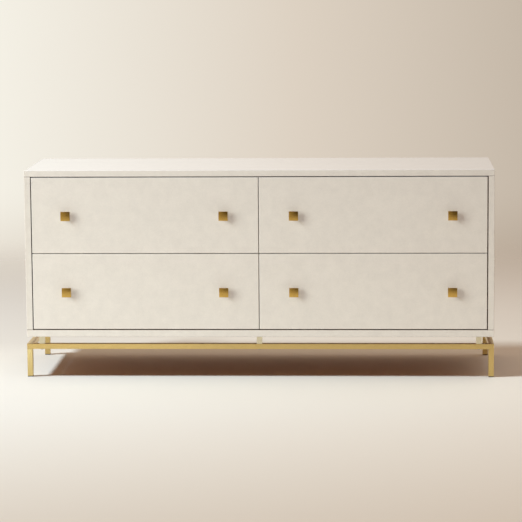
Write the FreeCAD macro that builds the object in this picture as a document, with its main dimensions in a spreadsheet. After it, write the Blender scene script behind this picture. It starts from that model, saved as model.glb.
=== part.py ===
import FreeCAD, Part
import os
import re
import Sketcher

# Low dresser with two columns of two inset drawers, on a slim brass stand. Millimetres.
# +X is the right-hand end, -Y the front with the knobs, +Z up. The origin lies on the floor
# under the middle of the whole outline, knobs included.

SIZES = {
    # Case
    "case_width": 1626,
    "case_depth": 470,
    "case_height": 582,
    "top_thickness": 22,
    "bottom_thickness": 25,
    "side_thickness": 22,
    "partition_thickness": 20,
    "partition_setback": 2,
    "panel_ease": 1,
    # Back panel in its rebate
    "back_thickness": 6,
    "back_lap": 9,
    "back_clearance": 0.3,
    # Loose tongues between the case panels
    "tongue_thickness": 6,
    "tongue_bite": 11,
    "tongue_end_room": 0.5,
    "tongue_inset": 40,
    "tongue_clearance": 0.05,
    # Stand of square tube
    "tube_size": 19,
    "tube_wall": 1.5,
    "tube_round": 1.2,
    "leg_length": 95,
    "glide_height": 3,
    "glide_inset": 0.5,
    "glide_plug_length": 14,
    "glide_clearance": 0.1,
    "standoff_height": 24,
    "standoff_inset": 52,
    # Drawer fronts
    "front_thickness": 20,
    "front_gap": 2.5,
    # Drawer boxes
    "box_wall": 12,
    "box_lift": 12,
    "box_headroom": 57,
    "box_bottom_thickness": 6,
    "groove_depth": 6,
    "groove_height": 11,
    "groove_clearance": 0.1,
    "pin_width": 8,
    "pin_flare": 2,
    "joint_clearance": 0.1,
    # Telescopic slides
    "slide_thickness": 12.7,
    "slide_height": 45,
    "slide_gauge": 1.2,
    "slide_lip": 3,
    "slide_web_gap": 0.7,
    "slide_rim_gap": 1.3,
    "ball_diameter": 3.2,
    "ball_clearance": 0.3,
    "slide_setback": 2,
    "slide_rear_room": 42,
    "slide_level": 78,
    # Knobs
    "knob_size": 32,
    "knob_projection": 30,
    "knob_plate_thickness": 7,
    "knob_face_radius": 140,
    "knob_neck_diameter": 12,
    "knob_inset": 120,
    "knob_screw_diameter": 4,
    "knob_screw_head_diameter": 9,
    "knob_screw_head_height": 2.8,
    "knob_screw_bite": 10,
    "screw_end_room": 1,
    "screw_clearance": 0.25,
    "thread_clearance": 0.05,
}

# Lengths and places that follow from the sizes above
FOLLOWS = {
    "front_face": "(knob_projection - case_depth) / 2",
    "rear_face": "(knob_projection + case_depth) / 2",
    "rail_bottom": "glide_height + leg_length",
    "rail_top": "rail_bottom + tube_size",
    "case_bottom": "rail_top + standoff_height",
    "opening_bottom": "case_bottom + bottom_thickness",
    "opening_height": "case_height - bottom_thickness - top_thickness",
    "opening_top": "opening_bottom + opening_height",
    "inner_width": "case_width - 2 * side_thickness",
    "upright_centre": "(case_width - side_thickness) / 2",
    "partition_front": "front_thickness + partition_setback",
    "partition_rear": "case_depth - back_thickness",
    "back_width": "inner_width + 2 * back_lap - 2 * back_clearance",
    "back_height": "opening_height + 2 * back_lap - 2 * back_clearance",
    "tongue_front": "partition_front + tongue_inset",
    "tongue_rear": "partition_rear - tongue_inset",
    "tongue_half": "tongue_thickness / 2",
    "tongue_groove_half": "tongue_half + tongue_clearance",
    "tongue_groove_depth": "tongue_bite + tongue_end_room",
    "standoff_centre": "case_width / 2 - standoff_inset",
    "front_width": "(inner_width - 3 * front_gap) / 2",
    "front_height": "(opening_height - 3 * front_gap) / 2",
    "front_centre": "(front_width + front_gap) / 2",
    "lower_front_bottom": "opening_bottom + front_gap",
    "upper_front_bottom": "lower_front_bottom + front_height + front_gap",
    "bay_width": "(inner_width - partition_thickness) / 2",
    "bay_centre": "(bay_width + partition_thickness) / 2",
    "box_width": "bay_width - 2 * slide_thickness",
    "box_height": "front_height - box_lift - box_headroom",
    "box_front": "front_face + front_thickness",
    "box_depth": "slide_length + 2 * slide_setback",
    "groove_width": "box_bottom_thickness + groove_clearance",
    "slide_length": "case_depth - front_thickness - slide_setback - back_thickness - slide_rear_room",
    "slide_front": "box_front + slide_setback",
    "slide_rim": "slide_thickness - slide_gauge - slide_rim_gap",
    "middle_half_height": "slide_height / 2 - slide_gauge - ball_diameter - ball_clearance",
    "inner_half_height": "middle_half_height - slide_gauge - ball_diameter - ball_clearance",
    "ball_track": "(slide_gauge + slide_web_gap + slide_rim) / 2",
    "knob_offset": "front_width / 2 - knob_inset",
    "knob_level": "front_height / 2",
    "knob_neck_length": "knob_projection - knob_plate_thickness",
    "knob_screw_hole_radius": "knob_screw_diameter / 2 + screw_clearance",
    "knob_screw_tap_radius": "knob_screw_diameter / 2 + thread_clearance",
}

TAILS = 4
SIDES = {"left": -1, "right": 1}
LEVELS = ("lower", "upper")
UPRIGHTS = ("-upright_centre", "0", "upright_centre")
UP = FreeCAD.Vector(0, 0, 1)

DOC = FreeCAD.newDocument("dresser")
SHEET = DOC.addObject("Spreadsheet::Sheet", "Sizes")
NODES = []


def fill_sheet():
    """One row for each driving size, with its alias."""
    for row, (alias, size) in enumerate(SIZES.items(), start=1):
        SHEET.set(f"A{row}", alias)
        SHEET.set(f"B{row}", str(size))
        SHEET.setAlias(f"B{row}", alias)
    DOC.recompute()


def bound(text):
    """An expression on the sheet's cells from one written in plain names."""

    def swap(match):
        word = match.group(0)
        if word in FOLLOWS:
            return "(" + bound(FOLLOWS[word]) + ")"
        if word in SIZES:
            return "Sizes." + word
        raise KeyError(word)

    return re.sub(r"[a-z][a-z_]+", swap, text)


def measure(text):
    """The number that an expression gives with the sheet's present sizes."""
    return float(DOC.getObject("Sizes").evalExpression(bound(text)))


def place(thing, x, y, z, turn=0):
    """Bind where a sub-part stands, turned about the vertical in degrees."""
    thing.Placement = FreeCAD.Placement(FreeCAD.Vector(), FreeCAD.Rotation(UP, turn))
    for axis, text in zip("xyz", (x, y, z)):
        thing.setExpression(f"Placement.Base.{axis}", bound(text))


def new_body(label, x="0", y="0", z="0", turn=0, node=True):
    body = DOC.addObject("PartDesign::Body", label)
    body.Label = label
    body.AllowCompound = True
    place(body, x, y, z, turn)
    if node:
        NODES.append(body)
    return body


def origin_feature(body, role):
    return next(feature for feature in body.Origin.OriginFeatures if feature.Role == role)


def new_sketch(body, plane, outlines=(), circles=(), offset="0"):
    """A sketch of closed straight outlines and circles, every point bound to the sheet."""
    sketch = body.newObject("Sketcher::SketchObject", "Sketch")
    sketch.AttachmentSupport = [(origin_feature(body, plane), "")]
    sketch.MapMode = "FlatFace"
    sketch.setExpression("AttachmentOffset.Base.z", bound(offset))
    for corners in outlines:
        draw_outline(sketch, corners)
    for x, y, radius in circles:
        draw_circle(sketch, x, y, radius)
    return sketch


def bind_constraints(sketch, rows):
    """Add dimensions given as (kind, geometry, point, expression) and bind each one."""
    constraints = []
    for kind, geometry, point, text in rows:
        if kind == "Radius":
            constraints.append(Sketcher.Constraint(kind, geometry, measure(text)))
        else:
            constraints.append(Sketcher.Constraint(kind, -1, 1, geometry, point, measure(text)))
    for index, row in zip(sketch.addConstraint(constraints), rows):
        sketch.setExpression(f"Constraints[{index}]", bound(row[3]))


def draw_outline(sketch, corners):
    first = sketch.GeometryCount
    count = len(corners)
    points = [FreeCAD.Vector(measure(x), measure(y), 0) for x, y in corners]
    sketch.addGeometry([Part.LineSegment(points[i], points[(i + 1) % count]) for i in range(count)], False)
    sketch.addConstraint(
        [Sketcher.Constraint("Coincident", first + i, 2, first + (i + 1) % count, 1) for i in range(count)]
    )
    rows = []
    for i, (x, y) in enumerate(corners):
        rows.append(("DistanceX", first + i, 1, x))
        rows.append(("DistanceY", first + i, 1, y))
    bind_constraints(sketch, rows)


def draw_circle(sketch, x, y, radius):
    index = sketch.GeometryCount
    centre = FreeCAD.Vector(measure(x), measure(y), 0)
    sketch.addGeometry(Part.Circle(centre, UP, measure(radius)), False)
    bind_constraints(
        sketch,
        [("DistanceX", index, 3, x), ("DistanceY", index, 3, y), ("Radius", index, 0, radius)],
    )


def rectangle(x_low, x_high, y_low, y_high):
    return [(x_low, y_low), (x_high, y_low), (x_high, y_high), (x_low, y_high)]


def square(x, y, half):
    """A square outline about a point, from its half width."""
    return rectangle(f"{x} - ({half})", f"{x} + ({half})", f"{y} - ({half})", f"{y} + ({half})")


def pad(body, sketch, length, against=False, both_ways=False):
    """Extrude along the sketch's normal, against it, or half each way."""
    feature = body.newObject("PartDesign::Pad", "Pad")
    feature.Profile = sketch
    feature.Reversed = against
    feature.SideType = "Symmetric" if both_ways else "One side"
    feature.setExpression("Length", bound(length))
    DOC.recompute()
    return feature


def pocket(body, sketch, depth=None, along=False):
    """Cut against the sketch's normal, along it, or right through both ways if no depth is given."""
    before = body.Shape.Volume
    feature = body.newObject("PartDesign::Pocket", "Pocket")
    feature.Profile = sketch
    feature.Reversed = along
    if depth is None:
        feature.Type = "ThroughAll"
        feature.SideType = "Symmetric"
    else:
        feature.setExpression("Length", bound(depth))
    DOC.recompute()
    if not body.Shape.Volume < before:
        raise RuntimeError(f"a pocket of {body.Label} cuts nothing")
    return feature


def round_edges(body, radius, wanted):
    """Fillet the edges that the test picks."""
    tip = body.Tip
    names = [f"Edge{number}" for number, edge in enumerate(tip.Shape.Edges, start=1) if wanted(edge)]
    fillet = body.newObject("PartDesign::Fillet", "Fillet")
    fillet.Base = (tip, names)
    fillet.setExpression("Radius", bound(radius))
    DOC.recompute()


def ease_edges(body, size):
    """Chamfer every edge of the body."""
    tip = body.Tip
    chamfer = body.newObject("PartDesign::Chamfer", "Chamfer")
    chamfer.Base = (tip, [f"Edge{number}" for number in range(1, len(tip.Shape.Edges) + 1)])
    chamfer.setExpression("Size", bound(size))
    DOC.recompute()


def runs_along(axis):
    """A test for straight edges parallel to an axis."""
    direction = FreeCAD.Vector(*axis)

    def test(edge):
        ends = edge.Vertexes[-1].Point - edge.Vertexes[0].Point
        return edge.Curve.TypeId == "Part::GeomLine" and abs(ends.dot(direction)) > 0.99 * ends.Length

    return test


# Case


def tongue_outline(x, half):
    """Plan of a tongue or of its groove in an upright's end, measured from the case's front."""
    reach = f"{half} - tongue_half"
    return rectangle(f"{x} - {half}", f"{x} + {half}", f"tongue_front - ({reach})", f"tongue_rear + {reach}")


def slab(label, thickness, level):
    """A full-width panel of the case with eased edges."""
    body = new_body(label, "0", "front_face", level)
    outline = rectangle("-case_width / 2", "case_width / 2", "0", "case_depth")
    pad(body, new_sketch(body, "XY_Plane", [outline]), thickness)
    ease_edges(body, "panel_ease")
    return body


def cut_slab_joints(body, inner_face, upwards):
    """Rebate for the back panel and grooves for the tongues, in a slab's inner face."""
    rebate = rectangle(
        "-inner_width / 2 - back_lap", "inner_width / 2 + back_lap", "case_depth - back_thickness", "case_depth"
    )
    pocket(body, new_sketch(body, "XY_Plane", [rebate], offset=inner_face), "back_lap", along=upwards)
    grooves = [tongue_outline(x, "tongue_groove_half") for x in UPRIGHTS]
    pocket(body, new_sketch(body, "XY_Plane", grooves, offset=inner_face), "tongue_groove_depth", along=upwards)


def top_panel():
    body = slab("top_panel", "top_thickness", "opening_top")
    cut_slab_joints(body, "0", upwards=True)


def bottom_panel():
    body = slab("bottom_panel", "bottom_thickness", "case_bottom")
    cut_slab_joints(body, "bottom_thickness", upwards=False)


def cut_end_grooves(body):
    """Grooves for the tongues in both ends of an upright panel."""
    groove = tongue_outline("0", "tongue_groove_half")
    pocket(body, new_sketch(body, "XY_Plane", [groove]), "tongue_groove_depth", along=True)
    pocket(body, new_sketch(body, "XY_Plane", [groove], offset="opening_height"), "tongue_groove_depth")


def side_panel(side, sign):
    body = new_body(f"{side}_side_panel", f"{sign} * upright_centre", "front_face", "opening_bottom")
    outline = rectangle("-side_thickness / 2", "side_thickness / 2", "0", "case_depth")
    pad(body, new_sketch(body, "XY_Plane", [outline]), "opening_height")
    ease_edges(body, "panel_ease")
    rebate = rectangle(
        f"{-sign} * side_thickness / 2",
        f"{-sign} * (side_thickness / 2 - back_lap)",
        "case_depth - back_thickness",
        "case_depth",
    )
    pocket(body, new_sketch(body, "XY_Plane", [rebate]))
    cut_end_grooves(body)


def centre_partition():
    body = new_body("centre_partition", "0", "front_face", "opening_bottom")
    outline = rectangle(
        "-partition_thickness / 2", "partition_thickness / 2", "partition_front", "partition_rear"
    )
    pad(body, new_sketch(body, "XY_Plane", [outline]), "opening_height")
    cut_end_grooves(body)


def back_panel():
    panel = DOC.addObject("Part::Box", "back_panel")
    panel.Label = "back_panel"
    for side, text in (("Length", "back_width"), ("Width", "back_thickness"), ("Height", "back_height")):
        panel.setExpression(side, bound(text))
    place(panel, "-back_width / 2", "rear_face - back_thickness", "opening_bottom - back_lap + back_clearance")
    NODES.append(panel)


def carcass_tongues():
    """Strips that key the top and the bottom to the sides and the partition."""
    body = new_body("carcass_tongues", "0", "front_face")
    strips = [tongue_outline(x, "tongue_half") for x in UPRIGHTS]
    for joint in ("opening_bottom", "opening_top"):
        pad(body, new_sketch(body, "XY_Plane", strips, offset=joint), "2 * tongue_bite", both_ways=True)


# Stand


def tube_section(x, y):
    """Outer and inner outline of the square tube about a point."""
    return [square(x, y, "tube_size / 2"), square(x, y, "tube_size / 2 - tube_wall")]


def on_tube_corner(edge):
    """A test for the long outer corners of a tube that runs along X from y = 0, z = 0."""
    half = measure("tube_size / 2")
    middle = edge.CenterOfMass
    on_corner = all(abs(abs(at - half) - half) < 0.01 for at in (middle.y, middle.z))
    return on_corner and runs_along((1, 0, 0))(edge)


def rail(label, length, x, y, turn):
    """A tube along X with its outer face at y = 0 and both ends mitred."""
    body = new_body(label, x, y, "rail_bottom", turn)
    sketch = new_sketch(body, "YZ_Plane", tube_section("tube_size / 2", "tube_size / 2"))
    pad(body, sketch, length, both_ways=True)
    round_edges(body, "tube_round", on_tube_corner)
    mitres = []
    for sign in SIDES.values():
        end = f"{sign} * ({length}) / 2"
        mitres.append([(end, "0"), (end, "tube_size"), (f"{end} - {sign} * tube_size", "tube_size")])
    pocket(body, new_sketch(body, "XY_Plane", mitres))


def rails():
    middle = "(front_face + rear_face) / 2"
    rail("front_rail", "case_width", "0", "front_face", 0)
    rail("rear_rail", "case_width", "0", "rear_face", 180)
    rail("left_end_rail", "case_depth", "-case_width / 2", middle, -90)
    rail("right_end_rail", "case_depth", "case_width / 2", middle, 90)


def leg_places():
    """Names of the four legs and the places of their middles."""
    places = {}
    for row, y in (("front", "front_face + tube_size / 2"), ("rear", "rear_face - tube_size / 2")):
        for side, sign in SIDES.items():
            places[f"{row}_{side}_leg"] = (f"{sign} * (case_width - tube_size) / 2", y)
    return places


def on_leg_corner(edge):
    half = measure("tube_size / 2")
    middle = edge.CenterOfMass
    on_corner = all(abs(abs(at) - half) < 0.01 for at in (middle.x, middle.y))
    return on_corner and runs_along((0, 0, 1))(edge)


def legs():
    for label, (x, y) in leg_places().items():
        body = new_body(label, x, y, "glide_height")
        pad(body, new_sketch(body, "XY_Plane", tube_section("0", "0")), "leg_length")
        round_edges(body, "tube_round", on_leg_corner)


def foot_glides():
    """Pads under the legs, each with a plug up inside its tube."""
    body = new_body("foot_glides")
    soles = [square(x, y, "tube_size / 2 - glide_inset") for x, y in leg_places().values()]
    pad(body, new_sketch(body, "XY_Plane", soles), "glide_height")
    plugs = [square(x, y, "tube_size / 2 - tube_wall - glide_clearance") for x, y in leg_places().values()]
    pad(body, new_sketch(body, "XY_Plane", plugs, offset="glide_height"), "glide_plug_length")


def standoff_blocks():
    """Square blocks over the front and rear rails, which hold the case clear of them."""
    body = new_body("standoff_blocks", "0", "front_face", "rail_top")
    outlines = []
    for y in ("tube_size / 2", "case_depth - tube_size / 2"):
        for x in ("-standoff_centre", "0", "standoff_centre"):
            outlines.append(square(x, y, "tube_size / 2"))
    pad(body, new_sketch(body, "XY_Plane", outlines), "standoff_height")


# Telescopic slides, drawn from the bay's wall towards the drawer


def slide_walls(sign):
    """The two walls of one bay: where each lies, and which way the drawer is from it."""
    return [(f"{sign} * inner_width / 2", -sign), (f"{sign} * partition_thickness / 2", sign)]


def slide_outline(wall, towards, level, points):
    """A section given from the wall and from its own middle, set in its place."""
    middle = f"{level}_front_bottom + box_lift + slide_level"
    return [(f"{wall} + {towards} * ({across})", f"{middle} + {up}") for across, up in points]


def upper_and_lower(points):
    """A closed section from its upper half, which runs from the web's side to the drawer's side and back."""
    return points + [(across, f"-({up})") for across, up in reversed(points)]


CABINET_SECTION = upper_and_lower(
    [
        ("slide_gauge", "slide_height / 2 - slide_gauge"),
        ("slide_rim - slide_gauge", "slide_height / 2 - slide_gauge"),
        ("slide_rim - slide_gauge", "slide_height / 2 - slide_lip"),
        ("slide_rim", "slide_height / 2 - slide_lip"),
        ("slide_rim", "slide_height / 2"),
        ("0", "slide_height / 2"),
    ]
)

MIDDLE_SECTION = upper_and_lower(
    [
        ("2 * slide_gauge + slide_web_gap", "middle_half_height - slide_gauge"),
        ("ball_track - ball_diameter / 2", "middle_half_height - slide_gauge"),
        ("ball_track - ball_diameter / 4", "middle_half_height - slide_gauge - ball_diameter"),
        ("ball_track + ball_diameter / 4", "middle_half_height - slide_gauge - ball_diameter"),
        ("ball_track + ball_diameter / 2", "middle_half_height - slide_gauge"),
        ("slide_rim - ball_clearance", "middle_half_height - slide_gauge"),
        ("slide_rim - ball_clearance", "middle_half_height"),
        ("ball_track + ball_diameter / 2", "middle_half_height"),
        ("ball_track + ball_diameter / 4", "middle_half_height + ball_diameter"),
        ("ball_track - ball_diameter / 4", "middle_half_height + ball_diameter"),
        ("ball_track - ball_diameter / 2", "middle_half_height"),
        ("slide_gauge + slide_web_gap", "middle_half_height"),
    ]
)

DRAWER_SECTION = upper_and_lower(
    [
        ("slide_thickness - slide_gauge", "inner_half_height - slide_gauge"),
        ("2 * slide_gauge + 2 * slide_web_gap", "inner_half_height - slide_gauge"),
        ("2 * slide_gauge + 2 * slide_web_gap", "inner_half_height"),
        ("slide_thickness", "inner_half_height"),
    ]
)


def slide_members(label, section, bays):
    """Steel channels of one kind, for the bays given as pairs of level and sign."""
    body = new_body(label, "0", "slide_front")
    outlines = []
    for level, sign in bays:
        for wall, towards in slide_walls(sign):
            outlines.append(slide_outline(wall, towards, level, section))
    pad(body, new_sketch(body, "XZ_Plane", outlines), "slide_length", against=True)


# Drawers


def pin_level(number):
    """Height of the middle of a pin on the box's corner, counted from the bottom edge."""
    return f"{number} * box_height / {TAILS}"


def pin_sockets(end, inward):
    """Cuts in a box side that take the pins of the box front or back at one end."""
    outlines = []
    for number in range(TAILS + 1):
        middle = pin_level(number)
        narrow = "(pin_width / 2 + joint_clearance)"
        wide = "(pin_width / 2 + pin_flare + joint_clearance)"
        shoulder = f"{end} + {inward} * (box_wall + joint_clearance)"
        outlines.append(
            [
                (end, f"{middle} - {narrow}"),
                (end, f"{middle} + {narrow}"),
                (shoulder, f"{middle} + {wide}"),
                (shoulder, f"{middle} - {wide}"),
            ]
        )
    return outlines


def tail_sockets():
    """Cuts in a box front or back that take the tails of a box side."""
    outlines = []
    for number in range(TAILS):
        low = pin_level(number)
        high = pin_level(number + 1)
        outlines.append(
            [
                ("0", f"{low} + pin_width / 2"),
                ("0", f"{high} - pin_width / 2"),
                ("box_wall", f"{high} - pin_width / 2 - pin_flare"),
                ("box_wall", f"{low} + pin_width / 2 + pin_flare"),
            ]
        )
    return outlines


def cut_knob_holes(body, places):
    circles = [(x, y, "knob_screw_hole_radius") for x, y in places]
    pocket(body, new_sketch(body, "XZ_Plane", circles=circles))


def drawer_front(drawer, level, sign):
    body = new_body(f"{drawer}_drawer_front", f"{sign} * front_centre", "front_face", f"{level}_front_bottom")
    outline = rectangle("-front_width / 2", "front_width / 2", "0", "front_height")
    pad(body, new_sketch(body, "XZ_Plane", [outline]), "front_thickness", against=True)
    ease_edges(body, "panel_ease")
    cut_knob_holes(body, [("-knob_offset", "knob_level"), ("knob_offset", "knob_level")])


def box_end(label, sign, y, level, turn):
    """Box front or back, with its outer face at y = 0, pins at both ends and a groove for the bottom."""
    body = new_body(label, f"{sign} * bay_centre", y, f"{level}_front_bottom + box_lift", turn)
    outline = rectangle("-box_width / 2", "box_width / 2", "0", "box_height")
    pad(body, new_sketch(body, "XZ_Plane", [outline]), "box_wall", against=True)
    depth = "box_wall + joint_clearance"
    pocket(body, new_sketch(body, "YZ_Plane", tail_sockets(), offset="box_width / 2"), depth)
    pocket(body, new_sketch(body, "YZ_Plane", tail_sockets(), offset="-box_width / 2"), depth, along=True)
    groove = rectangle("box_wall - groove_depth", "box_wall", "groove_height", "groove_height + groove_width")
    pocket(body, new_sketch(body, "YZ_Plane", [groove]))
    return body


def box_front(drawer, level, sign):
    body = box_end(f"{drawer}_box_front", sign, "box_front", level, 0)
    shift = f"{sign} * (front_centre - bay_centre)"
    height = "knob_level - box_lift"
    cut_knob_holes(body, [(f"{shift} - knob_offset", height), (f"{shift} + knob_offset", height)])


def box_back(drawer, level, sign):
    box_end(f"{drawer}_box_back", sign, "box_front + box_depth", level, 180)


def box_side(drawer, level, sign, hand, hand_sign):
    """A dovetailed box side with a groove in its inner face."""
    x = f"{sign} * bay_centre + {hand_sign} * (box_width - box_wall) / 2"
    body = new_body(f"{drawer}_box_{hand}_side", x, "box_front", f"{level}_front_bottom + box_lift")
    outline = rectangle("0", "box_depth", "0", "box_height")
    pad(body, new_sketch(body, "YZ_Plane", [outline]), "box_wall", both_ways=True)
    sockets = pin_sockets("0", 1) + pin_sockets("box_depth", -1)
    pocket(body, new_sketch(body, "YZ_Plane", sockets))
    groove = rectangle(
        f"{-hand_sign} * box_wall / 2",
        f"{-hand_sign} * (box_wall / 2 - groove_depth)",
        "groove_height",
        "groove_height + groove_width",
    )
    pocket(body, new_sketch(body, "XZ_Plane", [groove]))


def box_bottom(drawer, level, sign):
    """Thin board held in the grooves of all four walls."""
    reach = "(groove_depth - box_wall - groove_clearance)"
    height = f"{level}_front_bottom + box_lift + groove_height"
    body = new_body(f"{drawer}_box_bottom", f"{sign} * bay_centre", "box_front", height)
    outline = rectangle(
        f"-box_width / 2 - {reach}", f"box_width / 2 + {reach}", f"-{reach}", f"box_depth + {reach}"
    )
    pad(body, new_sketch(body, "XY_Plane", [outline]), "box_bottom_thickness")


# Knobs


def knob(label, x, z):
    """Square plate with a crowned face on a round neck, tapped for its screw."""
    blank = new_body(f"{label}_blank", x, "front_face", z, node=False)
    plate = new_sketch(blank, "XZ_Plane", [square("0", "0", "knob_size / 2")], offset="knob_neck_length")
    pad(blank, plate, "knob_plate_thickness")
    neck = new_sketch(blank, "XZ_Plane", circles=[("0", "0", "knob_neck_diameter / 2")])
    pad(blank, neck, "knob_neck_length")
    tapping = new_sketch(blank, "XZ_Plane", circles=[("0", "0", "knob_screw_tap_radius")])
    pocket(blank, tapping, "knob_screw_bite + screw_end_room", along=True)
    ball = DOC.addObject("Part::Sphere", f"{label}_crown")
    ball.setExpression("Radius", bound("knob_face_radius"))
    place(ball, x, "front_face - knob_projection + knob_face_radius", z)
    crowned = DOC.addObject("Part::Common", label)
    crowned.Base = blank
    crowned.Tool = ball
    DOC.recompute()
    if not crowned.Shape.Volume < blank.Shape.Volume:
        raise RuntimeError(f"the crown of {label} cuts nothing")
    return crowned


def knobs(drawer, level, sign):
    """The two knobs of one drawer as a pair."""
    pair = DOC.addObject("Part::Compound", f"{drawer}_knobs")
    pair.Label = f"{drawer}_knobs"
    pair.Links = [
        knob(
            f"{drawer}_{hand}_knob",
            f"{sign} * front_centre + {hand_sign} * knob_offset",
            f"{level}_front_bottom + knob_level",
        )
        for hand, hand_sign in SIDES.items()
    ]
    NODES.append(pair)


def knob_screws(drawer, level, sign):
    """Screws from inside the box through both fronts into the knobs."""
    body = new_body(
        f"{drawer}_knob_screws",
        f"{sign} * front_centre",
        "box_front + box_wall",
        f"{level}_front_bottom + knob_level",
    )
    shanks = [(f"{hand} * knob_offset", "0", "knob_screw_diameter / 2") for hand in SIDES.values()]
    pad(body, new_sketch(body, "XZ_Plane", circles=shanks), "box_wall + front_thickness + knob_screw_bite")
    heads = [(f"{hand} * knob_offset", "0", "knob_screw_head_diameter / 2") for hand in SIDES.values()]
    pad(body, new_sketch(body, "XZ_Plane", circles=heads), "knob_screw_head_height", against=True)


def drawers():
    for level in LEVELS:
        for side, sign in SIDES.items():
            drawer = f"{level}_{side}"
            drawer_front(drawer, level, sign)
            box_front(drawer, level, sign)
            box_back(drawer, level, sign)
            for hand, hand_sign in SIDES.items():
                box_side(drawer, level, sign, hand, hand_sign)
            box_bottom(drawer, level, sign)
            slide_members(f"{drawer}_slide_drawer_members", DRAWER_SECTION, [(level, sign)])
            slide_members(f"{drawer}_slide_middle_members", MIDDLE_SECTION, [(level, sign)])
            knobs(drawer, level, sign)
            knob_screws(drawer, level, sign)


def case():
    top_panel()
    bottom_panel()
    for side, sign in SIDES.items():
        side_panel(side, sign)
    centre_partition()
    back_panel()
    carcass_tongues()
    bays = [(level, sign) for level in LEVELS for sign in SIDES.values()]
    slide_members("slide_cabinet_members", CABINET_SECTION, bays)


def stand():
    rails()
    legs()
    foot_glides()
    standoff_blocks()


def write_parts():
    """Check every object, then write one file for each node."""
    for thing in DOC.Objects:
        if {"Invalid", "Error"} & set(thing.State):
            raise RuntimeError(f"{thing.Label} failed: {thing.State}")
    for node in NODES:
        if node.Shape.isNull() or not node.Shape.isValid() or not node.Shape.Solids:
            raise RuntimeError(f"{node.Label} has no sound shape")
    os.makedirs("parts", exist_ok=True)
    for node in NODES:
        node.Shape.exportStep(f"parts/{node.Label}.step")


fill_sheet()
case()
stand()
drawers()
DOC.recompute()
write_parts()
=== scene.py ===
import math

import bpy
from bpy.props import FloatProperty, FloatVectorProperty, IntProperty, PointerProperty
from mathutils import Matrix, Vector


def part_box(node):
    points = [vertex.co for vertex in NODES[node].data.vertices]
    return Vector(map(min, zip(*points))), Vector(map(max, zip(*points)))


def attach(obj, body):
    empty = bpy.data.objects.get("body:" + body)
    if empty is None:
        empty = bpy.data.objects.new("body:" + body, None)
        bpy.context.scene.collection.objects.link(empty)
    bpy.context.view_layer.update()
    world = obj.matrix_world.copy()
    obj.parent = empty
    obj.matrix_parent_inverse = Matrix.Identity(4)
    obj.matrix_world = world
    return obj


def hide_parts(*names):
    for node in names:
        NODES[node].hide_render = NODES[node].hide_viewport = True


bl_info = {
    "name": "Shagreen dresser",
    "version": (1, 0, 0),
    "blender": (4, 5, 0),
    "location": "3D View > Sidebar > Dresser",
    "description": "Finishes, small hardware, stage and light for a low four-drawer dresser",
    "category": "Object",
}

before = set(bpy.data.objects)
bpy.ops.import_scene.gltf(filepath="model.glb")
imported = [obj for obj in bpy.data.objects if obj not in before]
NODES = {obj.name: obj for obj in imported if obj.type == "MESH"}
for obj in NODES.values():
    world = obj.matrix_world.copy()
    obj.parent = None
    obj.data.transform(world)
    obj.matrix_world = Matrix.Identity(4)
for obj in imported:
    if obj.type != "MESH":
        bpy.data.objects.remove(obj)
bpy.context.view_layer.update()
DRAWERS = [f"{level}_{side}" for level in ("lower", "upper") for side in ("left", "right")]
MM = 0.001


# Node building


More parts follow.
